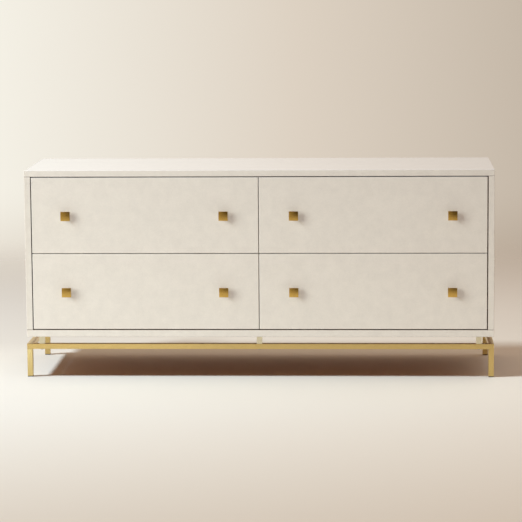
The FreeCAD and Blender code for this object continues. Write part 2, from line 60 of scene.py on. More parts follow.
class Graph:
    """A node tree with short ways to add and join nodes."""

    # A Mix node repeats its socket names for each kind of data, so its colour sockets are known by place.
    MIX_FACTOR, MIX_FIRST, MIX_SECOND, MIX_RESULT = 0, 6, 7, 2

    def __init__(self, tree):
        self.tree = tree

    def add(self, kind, inputs=None, **settings):
        """A node of that kind. Inputs are numbers, colours or sockets of earlier nodes."""
        node = self.tree.nodes.new(kind)
        for name, value in settings.items():
            setattr(node, name, value)
        for name, value in (inputs or {}).items():
            self.feed(node.inputs[name], value)
        return node

    def feed(self, socket, value):
        """Set a socket to a plain value, or join it to one socket or several."""
        sources = value if isinstance(value, list) else [value]
        if isinstance(sources[0], bpy.types.NodeSocket):
            for source in sources:
                self.tree.links.new(source, socket)
        else:
            socket.default_value = value

    def math(self, operation, *values):
        """A sum with numbers."""
        inputs = dict(enumerate(values))
        return self.add("ShaderNodeMath", inputs, operation=operation).outputs["Value"]

    def vector_math(self, operation, *values, result="Vector"):
        """A sum with vectors, whose result is a vector or a plain value."""
        inputs = dict(enumerate(values))
        return self.add("ShaderNodeVectorMath", inputs, operation=operation).outputs[result]

    def parts(self, vector):
        """The X, Y and Z of a vector."""
        return self.add("ShaderNodeSeparateXYZ", {"Vector": vector}).outputs

    def span(self, value, low, high, to_low=0.0, to_high=1.0, smooth=False):
        """A value carried from one range to another and kept within it."""
        inputs = {"Value": value, "From Min": low, "From Max": high, "To Min": to_low, "To Max": to_high}
        kind = "SMOOTHSTEP" if smooth else "LINEAR"
        return self.add("ShaderNodeMapRange", inputs, interpolation_type=kind).outputs["Result"]

    def blend(self, factor, first, second, how="MIX"):
        """Two colours blended."""
        node = self.add("ShaderNodeMix", data_type="RGBA", blend_type=how)
        self.feed(node.inputs[self.MIX_FACTOR], factor)
        self.feed(node.inputs[self.MIX_FIRST], first)
        self.feed(node.inputs[self.MIX_SECOND], second)
        return node.outputs[self.MIX_RESULT]

    def scaled(self, tone, shares):
        """A colour with a share of its red, of its green and of its blue."""
        return self.blend(1.0, tone, colour(shares), "MULTIPLY")

    def tones(self, value, *stops):
        """Colours met one after the other as a value grows, each given with its place."""
        first, last = stops[0][0], stops[-1][0]
        ramp = self.add("ShaderNodeValToRGB", {"Fac": self.span(value, first, last)})
        elements = ramp.color_ramp.elements
        while len(elements) < len(stops):
            elements.new(0.5)
        for element, (place, tone) in zip(elements, stops):
            element.position = (place - first) / (last - first)
            element.color = colour(tone)
        return ramp.outputs["Color"]

    def place(self, scale=(1.0, 1.0, 1.0)):
        """Object coordinates stretched by a factor along each axis."""
        spot = self.add("ShaderNodeTexCoord").outputs["Object"]
        return self.add("ShaderNodeMapping", {"Vector": spot, "Scale": scale}).outputs["Vector"]

    def grain(self, along, share):
        """Object coordinates for a pattern that is drawn out along one axis."""
        return self.place([share if axis == along else 1.0 for axis in "XYZ"])

    def noise(self, vector, scale, detail=2.0, roughness=0.5):
        """A cloudy pattern from 0 to 1."""
        inputs = {"Vector": vector, "Scale": scale, "Detail": detail, "Roughness": roughness}
        return self.add("ShaderNodeTexNoise", inputs).outputs["Fac"]

    def bump(self, height, strength, distance):
        """The way that a surface faces once a pattern stands up from it."""
        inputs = {"Height": height, "Strength": strength, "Distance": distance}
        return self.add("ShaderNodeBump", inputs).outputs["Normal"]

    def vector(self, **parts):
        """A vector put together from its parts."""
        return self.add("ShaderNodeCombineXYZ", parts).outputs["Vector"]

    def move(self, shape, **parts):
        """A shape moved along the axes."""
        inputs = {"Geometry": shape, "Translation": self.vector(**parts)}
        return self.add("GeometryNodeTransform", inputs).outputs["Geometry"]

    def join(self, *shapes):
        """Several shapes as one."""
        return self.add("GeometryNodeJoinGeometry", {"Geometry": list(shapes)}).outputs["Geometry"]

    def repeat(self, places, shape, **inputs):
        """A shape set at each place."""
        inputs = {"Points": places, "Instance": shape, **inputs}
        return self.add("GeometryNodeInstanceOnPoints", inputs).outputs["Instances"]


# Finishes


def colour(values, share=1.0):
    """A full colour socket's value, as bright as the given colour or a share of it."""
    return (*(value * share for value in values), 1.0)


def new_finish(name, **sockets):
    """A material with one surface shader and its plain numbers set on the shader itself."""
    material = bpy.data.materials.new(name)
    material.use_nodes = True
    graph = Graph(material.node_tree)
    shader = material.node_tree.nodes["Principled BSDF"]
    for socket, value in sockets.items():
        shader.inputs[socket.replace("_", " ")].default_value = value
    return material, graph, shader.inputs


def gap_shade_and_underside(graph, spot):
    """How much a face looks in at the middle of the case, where shade for the gaps is painted, and how much
    it looks down from the case.
    """
    middle = (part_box("bottom_panel")[0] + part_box("top_panel")[1]) / 2.0
    # Depth counts for less, so that the inner arrises of the front look inwards too.
    weights = (1.0, 0.3, 1.0)
    facing = graph.add("ShaderNodeNewGeometry").outputs["True Normal"]
    away = graph.vector_math("SUBTRACT", spot, middle)
    away = graph.vector_math("MULTIPLY", away, weights)
    outward = graph.vector_math("DOT_PRODUCT", facing, away, result="Value")
    gap_shade_mask = graph.span(outward, -0.01, -0.03)
    down = graph.span(graph.parts(facing)["Z"], -0.8, -0.9)
    return gap_shade_mask, graph.math("MULTIPLY", down, graph.math("SUBTRACT", 1.0, gap_shade_mask))


def shagreen(name, settings, board=None):
    """Ivory hide embossed with fine round grains, a little mottled. A case panel gets painted shade on its
    faces inside the case, to darken the gaps, and shows bare dark board below.
    """
    gloss = {"Roughness": settings.roughness, "Coat_Weight": 1.0, "Coat_Roughness": 0.2}
    material, graph, shader = new_finish(name, **gloss)
    spot = graph.place()
    grain = graph.add(
        "ShaderNodeTexVoronoi",
        {"Vector": spot, "Scale": 1.0 / settings.grain, "Smoothness": 0.4},
        feature="SMOOTH_F1",
    ).outputs["Distance"]
    cloud = graph.noise(spot, scale=34.0, detail=3.0, roughness=0.6)
    fleck = graph.noise(spot, scale=260.0, detail=2.0, roughness=0.6)
    tone = graph.math("ADD", graph.math("MULTIPLY", cloud, 0.6), graph.math("MULTIPLY", fleck, 0.4))
    shade = graph.span(tone, 0.35, 0.65)
    hide = graph.blend(shade, colour(settings.tint, 1.0 - settings.mottle), colour(settings.tint))
    if board:
        gap_shade_mask, down = gap_shade_and_underside(graph, spot)
        # Painted shade: faces inside the case are darkened so that the gaps between the fronts look dark.
        hide = graph.blend(gap_shade_mask, hide, colour(board["inside"]))
        hide = graph.blend(down, hide, colour(board["below"]))
    graph.feed(shader["Base Color"], hide)
    height = graph.math("SUBTRACT", 1.0, grain)
    graph.feed(shader["Normal"], graph.bump(height, strength=0.35, distance=settings.emboss))
    return material


def lacquer(settings):
    """Plain lining of the case."""
    material, graph, shader = new_finish("lining lacquer", Roughness=0.45)
    speck = graph.noise(graph.place(), scale=90.0)
    lining = graph.blend(speck, colour(settings.lining, 0.96), colour(settings.lining))
    graph.feed(shader["Base Color"], lining)
    return material


def timber(name, tint, along, pores=0.35):
    """Clear lacquered wood whose grain runs along one axis."""
    material, graph, shader = new_finish(name, Roughness=0.42)
    spot = graph.grain(along, share=0.06)
    broad = graph.noise(spot, scale=38.0, detail=4.0, roughness=0.6)
    fine = graph.noise(spot, scale=420.0, detail=3.0, roughness=0.65)
    rings = graph.math("FRACT", graph.math("MULTIPLY", broad, 7.0))
    figure = graph.span(graph.math("ABSOLUTE", graph.math("SUBTRACT", rings, 0.5)), 0.05, 0.5)
    streak = graph.span(fine, 0.38, 0.62)
    body = graph.blend(figure, colour(tint, 0.9), colour(tint))
    faded = graph.math("MULTIPLY", graph.math("SUBTRACT", 1.0, streak), pores)
    graph.feed(shader["Base Color"], graph.blend(faded, body, colour(tint, 0.72)))
    graph.feed(shader["Normal"], graph.bump(fine, strength=0.15, distance=0.1 * MM))
    return material


def brass(name, settings, along, tint=None):
    """Satin brass with a fine brushed grain along one axis."""
    material, graph, shader = new_finish(name, Metallic=1.0)
    tint = tint or settings.tint
    swing = 0.04
    brushed = graph.noise(graph.grain(along, share=0.02), scale=1400.0, detail=3.0, roughness=0.6)
    worn = graph.noise(graph.place(), scale=30.0)
    satin = graph.span(brushed, 0.3, 0.7, settings.roughness - swing, settings.roughness + swing)
    graph.feed(shader["Base Color"], graph.blend(worn, colour(tint, 0.9), colour(tint)))
    graph.feed(shader["Roughness"], satin)
    graph.feed(shader["Normal"], graph.bump(brushed, strength=0.06, distance=0.05 * MM))
    return material


def plated_steel(name, tint, roughness):
    """Zinc-plated steel with a faint spangle."""
    material, graph, shader = new_finish(name, Metallic=1.0)
    swing = 0.06
    spangle = graph.noise(graph.place(), scale=160.0, detail=3.0, roughness=0.6)
    satin = graph.span(spangle, 0.3, 0.7, roughness - swing, roughness + swing)
    graph.feed(shader["Base Color"], graph.blend(spangle, colour(tint, 0.85), colour(tint)))
    graph.feed(shader["Roughness"], satin)
    return material


def new_object(name, data):
    """An object in the scene, at the origin."""
    thing = bpy.data.objects.new(name, data)
    bpy.context.scene.collection.objects.link(thing)
    return thing


def finish_nodes(names, material):
    """Give CAD pieces their finish."""
    for name in names:
        slots = NODES[name].data.materials
        slots.clear()
        slots.append(material)


def named(ending):
    """The same piece of all four drawers."""
    return [f"{drawer}_{ending}" for drawer in DRAWERS]


# Hardware

# Shares of a screw head's diameter: half of its underside, half of its crown, and its recess.
HEAD_RIM, HEAD_CROWN, RECESS_LENGTH, RECESS_WIDTH = 0.5, 0.4, 0.5, 0.12
SCREW_SEED = 4
# Places of a Random Value node's sockets for one plain number, whose names repeat for each kind of data.
CHANCE_TOP, CHANCE_RESULT = 3, 1


def open_tree(name, sizes):
    """A geometry tree that takes a starting shape, the named sizes and a finish."""
    tree = bpy.data.node_groups.new(name, "GeometryNodeTree")
    for label, kind in {"Places": "Geometry", **sizes, "Finish": "Material"}.items():
        tree.interface.new_socket(label, in_out="INPUT", socket_type=f"NodeSocket{kind}")
    tree.interface.new_socket("Geometry", in_out="OUTPUT", socket_type="NodeSocketGeometry")
    graph = Graph(tree)
    return graph, graph.add("NodeGroupInput").outputs


def close_tree(graph, shape, finish):
    """End a tree in plain geometry of one finish."""
    plain = graph.add("GeometryNodeRealizeInstances", {"Geometry": shape}).outputs["Geometry"]
    dressed = graph.add("GeometryNodeSetMaterial", {"Geometry": plain, "Material": finish})
    graph.add("NodeGroupOutput", {"Geometry": dressed.outputs["Geometry"]})
    return graph.tree


def screw_tree():
    """Screws with a cross recess, one at each place, turned by chance about the way they face."""
    lengths = ("Head Diameter", "Head Height", "Shank Diameter", "Shank Length")
    graph, given = open_tree("screws", {**dict.fromkeys(lengths, "Float"), "Facing": "Vector"})
    shares = (HEAD_RIM, HEAD_CROWN, RECESS_LENGTH, RECESS_WIDTH)
    rim, crown, long, slim = (graph.math("MULTIPLY", given["Head Diameter"], share) for share in shares)
    height = given["Head Height"]
    head = {"Vertices": 20, "Radius Top": crown, "Radius Bottom": rim, "Depth": height}
    head = graph.add("GeometryNodeMeshCone", head).outputs["Mesh"]
    blades = []
    for across, along in ((long, slim), (slim, long)):
        size = graph.vector(X=across, Y=along, Z=height)
        blade = graph.add("GeometryNodeMeshCube", {"Size": size}).outputs["Mesh"]
        blades.append(graph.move(blade, Z=height))
    cut = {"Mesh 1": head, "Mesh 2": blades}
    cut = graph.add("GeometryNodeMeshBoolean", cut, operation="DIFFERENCE").outputs["Mesh"]
    girth = graph.math("MULTIPLY", given["Shank Diameter"], 0.5)
    shank = {"Vertices": 12, "Radius": girth, "Depth": given["Shank Length"]}
    shank = graph.add("GeometryNodeMeshCylinder", shank).outputs["Mesh"]
    shank = graph.move(shank, Z=graph.math("MULTIPLY", given["Shank Length"], -0.5))
    chance = {CHANCE_TOP: math.pi / 2.0, "Seed": SCREW_SEED}
    chance = graph.add("FunctionNodeRandomValue", chance, data_type="FLOAT").outputs[CHANCE_RESULT]
    spin = graph.add("FunctionNodeEulerToRotation", {"Euler": graph.vector(Z=chance)}).outputs["Rotation"]
    faced = {"Vector": given["Facing"]}
    faced = graph.add("FunctionNodeAlignRotationToVector", faced, axis="Z").outputs["Rotation"]
    turned = {"Rotation": faced, "Rotate By": spin}
    turned = graph.add("FunctionNodeRotateRotation", turned, rotation_space="LOCAL").outputs["Rotation"]
    screws = graph.repeat(given["Places"], graph.join(cut, shank), Rotation=turned)
    return close_tree(graph, screws, given["Finish"])


def shared_screw_tree():
    """The screw tree that every screw of the dresser is made by."""
    return bpy.data.node_groups.get("screws") or screw_tree()


def screw_sizes(head, height, length):
    """Sizes of a screw whose head's height is a share of its diameter and whose shank is half as thick."""
    return {
        "head_diameter": head,
        "head_height": height * head,
        "shank_diameter": 0.5 * head,
        "shank_length": length,
    }


def ball_tree():
    """Rows of steel balls in their cage strip, one row from each place towards the back."""
    graph, given = open_tree("ball rows", {"Balls": "Int", "Pitch": "Float", "Diameter": "Float"})
    line = {"Count": given["Balls"], "Offset": graph.vector(Y=given["Pitch"])}
    line = graph.add("GeometryNodeMeshLine", line).outputs["Mesh"]
    ball = {"Segments": 8, "Rings": 6, "Radius": graph.math("MULTIPLY", given["Diameter"], 0.5)}
    ball = graph.add("GeometryNodeMeshUVSphere", ball).outputs["Mesh"]
    length = graph.math("MULTIPLY", given["Balls"], given["Pitch"])
    wide, thin = (graph.math("MULTIPLY", given["Diameter"], part) for part in (1.3, 0.2))
    size = graph.vector(X=wide, Y=length, Z=thin)
    strip = graph.add("GeometryNodeMeshCube", {"Size": size}).outputs["Mesh"]
    strip = graph.move(strip, Y=graph.math("MULTIPLY", graph.math("SUBTRACT", length, given["Pitch"]), 0.5))
    rows = graph.repeat(given["Places"], graph.join(graph.repeat(line, ball), strip))
    return close_tree(graph, rows, given["Finish"])


def channel_tree():
    """Steel channels drawn out towards the back from their end sections."""
    graph, given = open_tree("channels", {"Length": "Float"})
    way = {"Offset": graph.vector(Y=given["Length"]), "Offset Scale": 1.0}
    drawn = {"Mesh": given["Places"], **way, "Individual": False}
    drawn = graph.add("GeometryNodeExtrudeMesh", drawn, mode="FACES").outputs["Mesh"]
    ends = graph.add("GeometryNodeFlipFaces", {"Mesh": given["Places"]}).outputs["Mesh"]
    whole = {"Geometry": graph.join(drawn, ends), "Distance": 0.01 * MM}
    whole = graph.add("GeometryNodeMergeByDistance", whole).outputs["Geometry"]
    return close_tree(graph, whole, given["Finish"])


def made_by(tree, name, body, slot, places, faces=(), **values):
    """A piece that a geometry tree makes from a starting shape, as a plain mesh on its body."""
    mesh = bpy.data.meshes.new(name)
    mesh.from_pydata([tuple(place) for place in places], [], list(faces))
    start = new_object(f"{name} places", mesh)
    modifier = start.modifiers.new(name, "NODES")
    modifier.node_group = tree
    for socket in tree.interface.items_tree:
        label = socket.name.lower().replace(" ", "_")
        if socket.in_out == "INPUT" and label in values:
            modifier[socket.identifier] = values[label]
    finished = start.evaluated_get(bpy.context.evaluated_depsgraph_get())
    made = bpy.data.meshes.new_from_object(finished)
    made.validate()
    piece = new_object(name, made)
    bpy.data.objects.remove(start)
    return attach(piece, body)


# Settings


class ShagreenSettings(bpy.types.PropertyGroup):
    tint: FloatVectorProperty(
        name="Tint", description="Colour of the hide",
        subtype="COLOR", default=(0.80, 0.745, 0.65), min=0, max=1,
    )
    # Painted shade: the dark colour of the faces inside the case, which darkens the gaps.
    board_inside: FloatVectorProperty(
        name="Gap shade, painted", description="Colour of the shade painted on the faces inside the case",
        subtype="COLOR", default=(0.085, 0.045, 0.03), min=0, max=1,
    )
    board_below: FloatVectorProperty(
        name="Board, below", description="Colour of the bare board under the case",
        subtype="COLOR", default=(0.27, 0.085, 0.04), min=0, max=1,
    )
    mottle: FloatProperty(
        name="Mottle", description="How much darker the darkest clouds are",
        subtype="FACTOR", default=0.075, max=1,
    )
    grain: FloatProperty(
        name="Grain", description="Distance between two grains",
        unit="LENGTH", default=2.2 * MM, min=0.2 * MM,
    )
    emboss: FloatProperty(
        name="Emboss", description="Height of the grains",
        unit="LENGTH", default=0.25 * MM, min=0,
    )
    roughness: FloatProperty(
        name="Roughness", description="How matt the hide is",
        subtype="FACTOR", default=0.42, min=0, max=1,
    )


class WoodSettings(bpy.types.PropertyGroup):
    lining: FloatVectorProperty(
        name="Lining", description="Colour of the partition and the back panel",
        subtype="COLOR", default=(0.70, 0.64, 0.53), min=0, max=1,
    )
    box: FloatVectorProperty(
        name="Box", description="Colour of the drawer boxes",
        subtype="COLOR", default=(0.62, 0.43, 0.25), min=0, max=1,
    )
    plywood: FloatVectorProperty(
        name="Plywood", description="Colour of the drawer bottoms",
        subtype="COLOR", default=(0.68, 0.52, 0.33), min=0, max=1,
    )


class BrassSettings(bpy.types.PropertyGroup):
    tint: FloatVectorProperty(
        name="Tint", description="Colour of the stand's tube",
        subtype="COLOR", default=(0.76, 0.565, 0.23), min=0, max=1,
    )
    pale_tint: FloatVectorProperty(
        name="Pale tint", description="Colour of the blocks under the case",
        subtype="COLOR", default=(0.90, 0.83, 0.62), min=0, max=1,
    )
    deep_tint: FloatVectorProperty(
        name="Deep tint", description="Colour of the knobs",
        subtype="COLOR", default=(0.73, 0.48, 0.13), min=0, max=1,
    )
    glide_tint: FloatVectorProperty(
        name="Glide tint", description="Colour of the plastic glides under the legs",
        subtype="COLOR", default=(0.035, 0.022, 0.014), min=0, max=1,
    )
    roughness: FloatProperty(
        name="Roughness", description="How satin the brass is",
        subtype="FACTOR", default=0.3, min=0, max=1,
    )


class ScrewSettings(bpy.types.PropertyGroup):
    tint: FloatVectorProperty(
        name="Tint", description="Colour of the screws",
        subtype="COLOR", default=(0.50, 0.50, 0.51), min=0, max=1,
    )
    stand_head: FloatProperty(
        name="Stand screw", description="Diameter of the heads under the stand",
        unit="LENGTH", default=11 * MM,
    )
    back_head: FloatProperty(
        name="Back screw", description="Diameter of the heads in the back panel",
        unit="LENGTH", default=6.5 * MM,
    )
    back_inset: FloatProperty(
        name="Back inset", description="From the back panel's edge to its screws",
        unit="LENGTH", default=4.5 * MM,
    )
    back_columns: IntProperty(
        name="Back columns", description="Screws along the back panel's upper and lower edge",
        default=9, min=2,
    )
    back_rows: IntProperty(
        name="Back rows", description="Screws along the back panel's side edges",
        default=4, min=2,
    )
    front_head: FloatProperty(
        name="Front screw", description="Diameter of the heads inside the drawer boxes",
        unit="LENGTH", default=8 * MM,
    )
    slide_head: FloatProperty(
        name="Slide screw", description="Diameter of the flat heads in the slides",
        unit="LENGTH", default=7 * MM,
    )


class SlideSettings(bpy.types.PropertyGroup):
    tint: FloatVectorProperty(
        name="Tint", description="Colour of the slides",
        subtype="COLOR", default=(0.55, 0.56, 0.58), min=0, max=1,
    )
    ball_tint: FloatVectorProperty(
        name="Ball tint", description="Colour of the balls",
        subtype="COLOR", default=(0.62, 0.61, 0.59), min=0, max=1,
    )
    gauge: FloatProperty(
        name="Gauge", description="Thickness of the slides' sheet steel",
        unit="LENGTH", default=1.2 * MM,
    )
    channel: FloatProperty(
        name="Channel", description="Depth of a middle member",
        unit="LENGTH", default=8.0 * MM,
    )
    track: FloatProperty(
        name="Track", description="From a middle member's web to its balls",
        unit="LENGTH", default=4.15 * MM,
    )
    ball: FloatProperty(
        name="Ball", description="Diameter of a ball",
        unit="LENGTH", default=3.2 * MM,
    )
    balls: IntProperty(
        name="Balls", description="Balls in a row",
        default=16, min=1,
    )
    pitch: FloatProperty(
        name="Pitch", description="From one ball to the next",
        unit="LENGTH", default=11 * MM,
    )


class StageSettings(bpy.types.PropertyGroup):
    floor: FloatVectorProperty(
        name="Floor", description="Colour of the floor",
        subtype="COLOR", default=(0.79, 0.75, 0.62), min=0, max=1,
    )
    # Painted light and shade: the floor is darker towards the camera and behind the dresser, lighter at its
    # feet.
    floor_near: FloatVectorProperty(
        name="Floor, near", description="Colour of the floor towards the camera",
        subtype="COLOR", default=(0.645, 0.575, 0.445), min=0, max=1,
    )
    floor_foot: FloatVectorProperty(
        name="Floor, foot", description="Colour of the floor at the dresser's feet",
        subtype="COLOR", default=(0.86, 0.81, 0.665), min=0, max=1,
    )
    floor_far: FloatVectorProperty(
        name="Floor, far", description="Colour of the floor behind the dresser",
        subtype="COLOR", default=(0.69, 0.64, 0.52), min=0, max=1,
    )
    # The wall's colours paint light: brightest on the lamps' side, darker away from them.
    wall_left: FloatVectorProperty(
        name="Wall, left", description="Colour of the wall on the lamp's side",
        subtype="COLOR", default=(0.913, 0.880, 0.791), min=0, max=1,
    )
    wall_middle: FloatVectorProperty(
        name="Wall, middle", description="Colour of the wall behind the dresser",
        subtype="COLOR", default=(0.723, 0.638, 0.539), min=0, max=1,
    )
    wall_right: FloatVectorProperty(
        name="Wall, right", description="Colour of the wall away from the lamp",
        subtype="COLOR", default=(0.565, 0.485, 0.397), min=0, max=1,
    )
    key: FloatProperty(
        name="Key", description="Power of the high lamp",
        unit="POWER", default=475.0, min=0,
    )
    fill: FloatProperty(
        name="Fill", description="Power of the low lamp",
        unit="POWER", default=445.0, min=0,
    )


# Pieces

DOWN, BACK = (0, 0, -1), (0, 1, 0)
# From the middle of a box front to its screws, along X and Z, and from a slide's ends to its screws.
FRONT_SCREW_OFFSET = (180 * MM, 55 * MM)
SLIDE_SCREW_INSET = 40 * MM


def spread(first, last, count):
    """Evenly spaced places from the first to the last."""
    return [first + (last - first) * number / (count - 1) for number in range(count)]


class DRESSER_OT_cover_case(bpy.types.Operator):
    """Cover the case and the drawer fronts in shagreen"""

    bl_idname = "dresser.cover_case"
    bl_label = "Cover case"

    def execute(self, context):
        settings = context.scene.dresser_shagreen
        finish_nodes(named("drawer_front"), shagreen("ivory shagreen", settings))
        # The case panels get painted shade on their inner faces, for the gaps.
        board = {"inside": settings.board_inside, "below": settings.board_below}
        panels = ["top_panel", "bottom_panel", "left_side_panel", "right_side_panel"]
        finish_nodes(panels, shagreen("ivory shagreen, dark board", settings, board))
        return {"FINISHED"}


class DRESSER_OT_line_case(bpy.types.Operator):
    """Lacquer the partition and the back panel"""

    bl_idname = "dresser.line_case"
    bl_label = "Line case"

    def execute(self, context):
        finish_nodes(["centre_partition", "back_panel"], lacquer(context.scene.dresser_wood))
        return {"FINISHED"}


class DRESSER_OT_finish_boxes(bpy.types.Operator):
    """Give the drawer boxes and the tongues their wood"""

    bl_idname = "dresser.finish_boxes"
    bl_label = "Finish drawer boxes"

    def execute(self, context):
        wood = context.scene.dresser_wood
        across = timber("box wood, grain along X", wood.box, "X")
        deep = timber("box wood, grain along Y", wood.box, "Y")
        finish_nodes([*named("box_front"), *named("box_back")], across)
        finish_nodes([*named("box_left_side"), *named("box_right_side"), "carcass_tongues"], deep)
        finish_nodes(named("box_bottom"), timber("bottom plywood", wood.plywood, "X", pores=0.2))
        return {"FINISHED"}


class DRESSER_OT_finish_stand(bpy.types.Operator):
    """Give the stand and the knobs their brass, and the legs their plastic glides"""

    bl_idname = "dresser.finish_stand"
    bl_label = "Finish stand and knobs"

    def execute(self, context):
        settings = context.scene.dresser_brass
        legs = [f"{row}_{side}_leg" for row in ("front", "rear") for side in ("left", "right")]
        finish_nodes(["front_rail", "rear_rail"], brass("satin brass, brushed across", settings, "X"))
        finish_nodes(named("knobs"), brass("deep brass", settings, "X", settings.deep_tint))
        ends = ["left_end_rail", "right_end_rail"]
        finish_nodes(ends, brass("satin brass, brushed in depth", settings, "Y"))
        finish_nodes(legs, brass("satin brass, brushed upright", settings, "Z"))
        finish_nodes(["standoff_blocks"], brass("pale brass", settings, "Z", settings.pale_tint))
        plastic, *_ = new_finish("glide plastic", Base_Color=colour(settings.glide_tint), Roughness=0.5)
        finish_nodes(["foot_glides"], plastic)
        return {"FINISHED"}


def channel_section(half, depth, gauge):
    """Corners of a channel's end, each as its distance from the web and its height over the middle."""
    lip = half - gauge
    upper = [(0, half), (depth, half), (depth, lip), (gauge, lip)]
    return upper + [(across, -up) for across, up in reversed(upper)]


class DRESSER_OT_finish_slides(bpy.types.Operator):
    """Plate the slides and set rows of balls on their middle members"""

    bl_idname = "dresser.finish_slides"
    bl_label = "Finish slides"

    def execute(self, context):
        settings = context.scene.dresser_slides
        zinc = plated_steel("slide zinc", settings.tint, roughness=0.34)
        bright = plated_steel("ball steel", settings.ball_tint, roughness=0.18)
        finish_nodes(["slide_cabinet_members", *named("slide_drawer_members")], zinc)
        channels, balls = channel_tree(), ball_tree()
        ball, pitch = settings.ball, settings.pitch
        for drawer in DRAWERS:
            node = f"{drawer}_slide_middle_members"
            low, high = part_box(node)
            middle = (low + high) / 2.0
            half = (high.z - low.z) / 2.0 - ball
            lip = half - settings.gauge
            section = channel_section(half, settings.channel, settings.gauge)
            places, starts = [], []
            for web, towards in ((low.x, 1.0), (high.x, -1.0)):
                outline = [(web + towards * across, low.y, middle.z + up) for across, up in section]
                places += outline if towards > 0 else outline[::-1]
                track = web + towards * settings.track
                for start, up in ((middle.y, half + ball / 2.0), (low.y, lip - ball / 2.0)):
                    starts += [(track, start + pitch, middle.z + way * up) for way in (1, -1)]
            count = len(section)
            faces = [range(count), range(count, 2 * count)]
            common = {"body": f"{drawer}_runners", "slot": "slide_steel"}
            piece = made_by(
                channels, f"{drawer}_runner_channels", places=places, faces=faces,
                length=high.y - low.y, finish=zinc, **common,
            )
            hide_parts(node)
            made_by(
                balls, f"{drawer}_ball_rows", places=starts,
                balls=settings.balls, pitch=pitch, diameter=ball, finish=bright, **common,
            )
        return {"FINISHED"}


class DRESSER_OT_drive_case_screws(bpy.types.Operator):
    """Drive the screws under the stand and round the back panel"""

    bl_idname = "dresser.drive_case_screws"
    bl_label = "Drive case screws"

    def execute(self, context):
        settings = context.scene.dresser_screws
        zinc = plated_steel("case screw zinc", settings.tint, roughness=0.3)
        common = {"body": "case", "slot": "screw_steel", "finish": zinc}
        low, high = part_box("standoff_blocks")
        edge = (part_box("front_rail")[1].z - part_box("front_rail")[0].z) / 2.0
        places = []
        for rail in ("front_rail", "rear_rail"):
            bottom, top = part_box(rail)
            places += [(x, (bottom.y + top.y) / 2.0, bottom.z) for x in (low.x + edge, 0.0, high.x - edge)]
        sizes = screw_sizes(settings.stand_head, height=0.22, length=40 * MM)
        made_by(shared_screw_tree(), "stand_screws", places=places, facing=DOWN, **sizes, **common)
        low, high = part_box("back_panel")
        inset = settings.back_inset
        columns = spread(low.x + inset, high.x - inset, settings.back_columns)
        rows = spread(low.z + inset, high.z - inset, settings.back_rows)
        rim = [(x, z) for x in columns for z in (rows[0], rows[-1])]
        sides = [(x, z) for x in (columns[0], 0.0, columns[-1]) for z in rows[1:-1]]
        places = [(x, high.y, z) for x, z in rim + sides]
        sizes = screw_sizes(settings.back_head, height=0.2, length=12 * MM)
        made_by(shared_screw_tree(), "back_screws", places=places, facing=BACK, **sizes, **common)
        return {"FINISHED"}


class DRESSER_OT_drive_drawer_screws(bpy.types.Operator):
    """Drive the screws of the drawer fronts, the knobs and the slides"""

    bl_idname = "dresser.drive_drawer_screws"
    bl_label = "Drive drawer screws"

    def execute(self, context):
        settings = context.scene.dresser_screws
        zinc = plated_steel("drawer screw zinc", settings.tint, roughness=0.3)
        gauge = context.scene.dresser_slides.gauge
        for drawer in DRAWERS:
            common = {"body": f"{drawer}_drawer", "slot": "screw_steel", "finish": zinc}
            self.drive_front(drawer, settings.front_head, common)
            self.drive_knobs(drawer, common)
            self.drive_slides(drawer, settings.slide_head, gauge, common)
        return {"FINISHED"}

    def drive_front(self, drawer, head, common):
        """Four screws through the box front into the drawer front."""
        low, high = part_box(f"{drawer}_box_front")
        middle = (low + high) / 2.0
        across, up = FRONT_SCREW_OFFSET
        places = [(middle.x + x, high.y, middle.z + z) for x in (-across, across) for z in (-up, up)]
        sizes = screw_sizes(head, height=0.25, length=25 * MM)
        made_by(shared_screw_tree(), f"{drawer}_front_screws", places=places, facing=BACK, **sizes, **common)

    def drive_knobs(self, drawer, common):
        """Crossed screws in place of the plain ones that hold the knobs."""
        low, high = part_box(f"{drawer}_knob_screws")
        wide = high.z - low.z
        tall = high.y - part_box(f"{drawer}_box_front")[1].y
        columns = (low.x + wide / 2.0, high.x - wide / 2.0)
        knob_screws = made_by(
            shared_screw_tree(), f"{drawer}_crossed_knob_screws",
            places=[(x, high.y - tall, (low.z + high.z) / 2.0) for x in columns], facing=BACK,
            head_diameter=wide, head_height=tall,
            shank_diameter=4 * MM, shank_length=high.y - tall - low.y, **common,
        )
        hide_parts(f"{drawer}_knob_screws")

    def drive_slides(self, drawer, head, gauge, common):
        """Three flat screws through each drawer member into the box side."""
        low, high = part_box(f"{drawer}_slide_drawer_members")
        sizes = screw_sizes(head, height=0.07, length=10 * MM)
        rows = spread(low.y + SLIDE_SCREW_INSET, high.y - SLIDE_SCREW_INSET, count=3)
        outer = {
            "left": (-1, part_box(f"{drawer}_box_left_side")[0].x),
            "right": (1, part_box(f"{drawer}_box_right_side")[1].x),
        }
        for side, (way, face) in outer.items():
            made_by(
                shared_screw_tree(), f"{drawer}_{side}_slide_screws",
                places=[(face + way * gauge, y, (low.z + high.z) / 2.0) for y in rows],
                facing=(way, 0, 0), **sizes, **common,
            )


# Stage

FLOOR_RADIUS, FLOOR_SIDES = 4.5, 96
# Where the floor fades out: in distance from the middle, and along Y behind the dresser.
RIM_FADE, BACK_FADE = (3.1, 4.4), (1.2, 4.0)
# Places along Y of the floor's four colours, which paint light and shade: darker towards the camera,
# lightest at the dresser's feet, darker behind it.
FLOOR_NEAR, FLOOR_MIDDLE, FLOOR_FOOT, FLOOR_FAR = -2.45, -0.8, -0.25, 0.5
